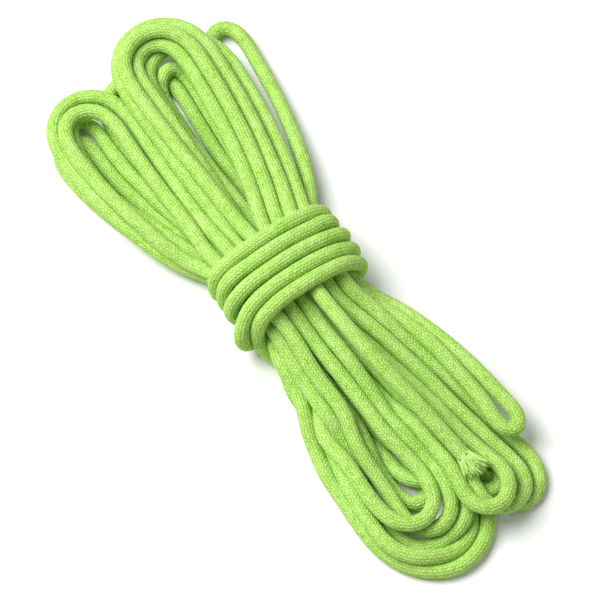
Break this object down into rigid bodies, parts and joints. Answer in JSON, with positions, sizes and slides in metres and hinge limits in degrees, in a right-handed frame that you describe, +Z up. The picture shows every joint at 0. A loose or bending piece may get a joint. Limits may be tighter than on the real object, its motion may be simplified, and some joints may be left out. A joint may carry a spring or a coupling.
{
  "type": "climbing cord hank",
  "caption": "Hank of braided kernmantle climbing cord folded to and fro and wound round the waist with its own length, one frayed end lying free on top.",
  "frame": {"origin": "under the waist, at the centre of the base of the bounding box, on the resting plane", "axes": "+X along the hank towards the frayed end, +Y across it towards the upper lobes' side, +Z up from the resting plane"},
  "size_m": [0.2436, 0.0978, 0.038],
  "materials": {
    "sheath": "matt braided yarn, light green",
    "core": "matt parallel yarn, pale",
    "yarn": "loose cut yarn, pale green"
  },
  "bodies": {
    "hank": {"hank_sheath": "sheath", "hank_core": "core", "waist_wrap_sheath": "sheath", "waist_wrap_core": "core", "tucked_end_sheath": "sheath", "tucked_end_core": "core"},
    "free_end": {"free_end_sheath": "sheath", "free_end_core": "core", "frayed_sheath_yarns": "yarn", "frayed_core_yarns": "yarn"}
  },
  "joints": [
    {"name": "free_end_lift", "type": "hinge", "parent": "hank", "child": "free_end", "pos_m": [0.01483, 0.00577, 0.03169], "axis": [0, -1, 0], "range_deg": [0, 60]}
  ]
}
